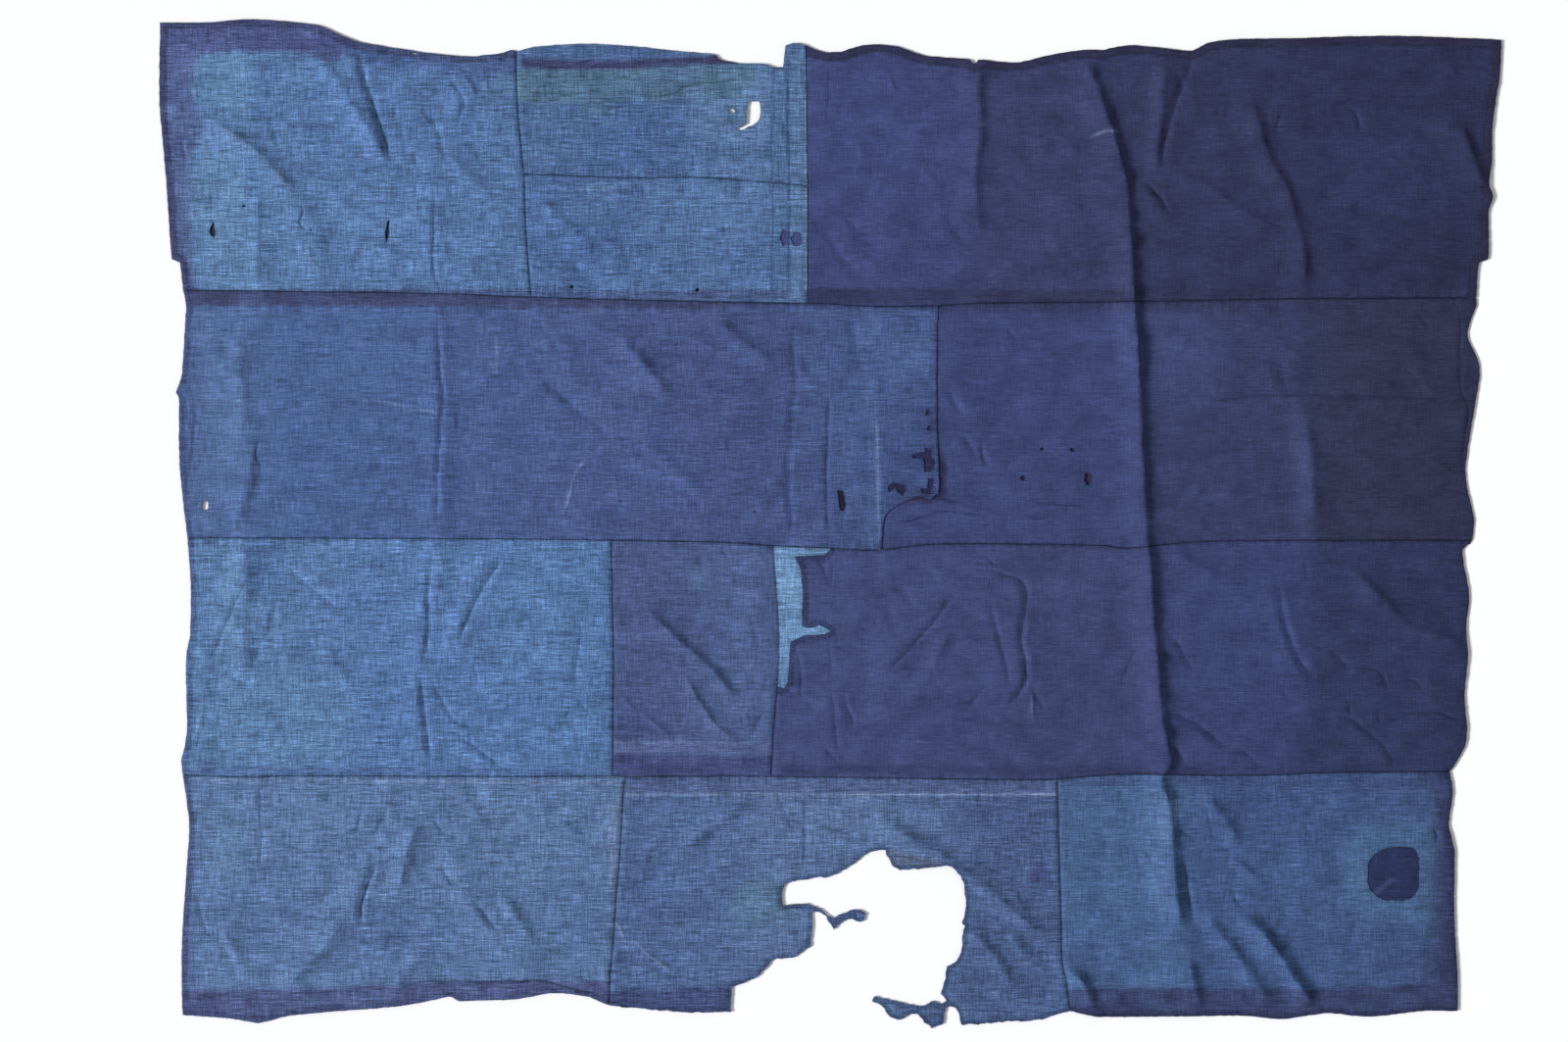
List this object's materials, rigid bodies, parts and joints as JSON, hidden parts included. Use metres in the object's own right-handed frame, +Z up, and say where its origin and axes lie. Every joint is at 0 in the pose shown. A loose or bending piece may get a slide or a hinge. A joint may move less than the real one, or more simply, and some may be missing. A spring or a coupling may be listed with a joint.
{
  "type": "boro patched cloth",
  "caption": "Patched and mended indigo cotton cloth lying flat: narrow strips pieced from faded remnants, with folds, worn holes, backing patches and a large torn gap at its lower edge.",
  "frame": {"origin": "on the surface the cloth rests on, under the middle of its box", "axes": "+Z up out of the cloth's face, +X along the pieced strips to the end with the darkest panels, +Y across the strips to the edge away from the big tear"},
  "size_m": [1.7108, 1.2856, 0.0102],
  "materials": {
    "a1": "matt indigo cotton, faded",
    "a2": "matt indigo cotton, stained green along the top",
    "a3": "matt indigo cotton",
    "a4": "matt dark indigo cotton",
    "b1": "matt indigo cotton, worn",
    "b2": "matt dark indigo cotton",
    "c1": "matt indigo cotton, faded",
    "c2": "matt grey blue cotton",
    "c3": "matt dark indigo cotton",
    "d1": "matt indigo cotton, faded",
    "d2": "matt indigo cotton, torn",
    "d3": "matt teal blue cotton",
    "pale": "matt light blue cotton",
    "round": "matt dark indigo cotton"
  },
  "bodies": {
    "root": {"panel_a1": "a1", "panel_a2": "a2", "panel_a3": "a3", "panel_a4": "a4", "panel_b1": "b1", "panel_b2": "b2", "panel_c1": "c1", "panel_c2": "c2", "panel_c3": "c3", "panel_d1": "d1", "panel_d2": "d2", "panel_d3": "d3", "pale_patch": "pale", "round_patch": "round"}
  },
  "joints": []
}
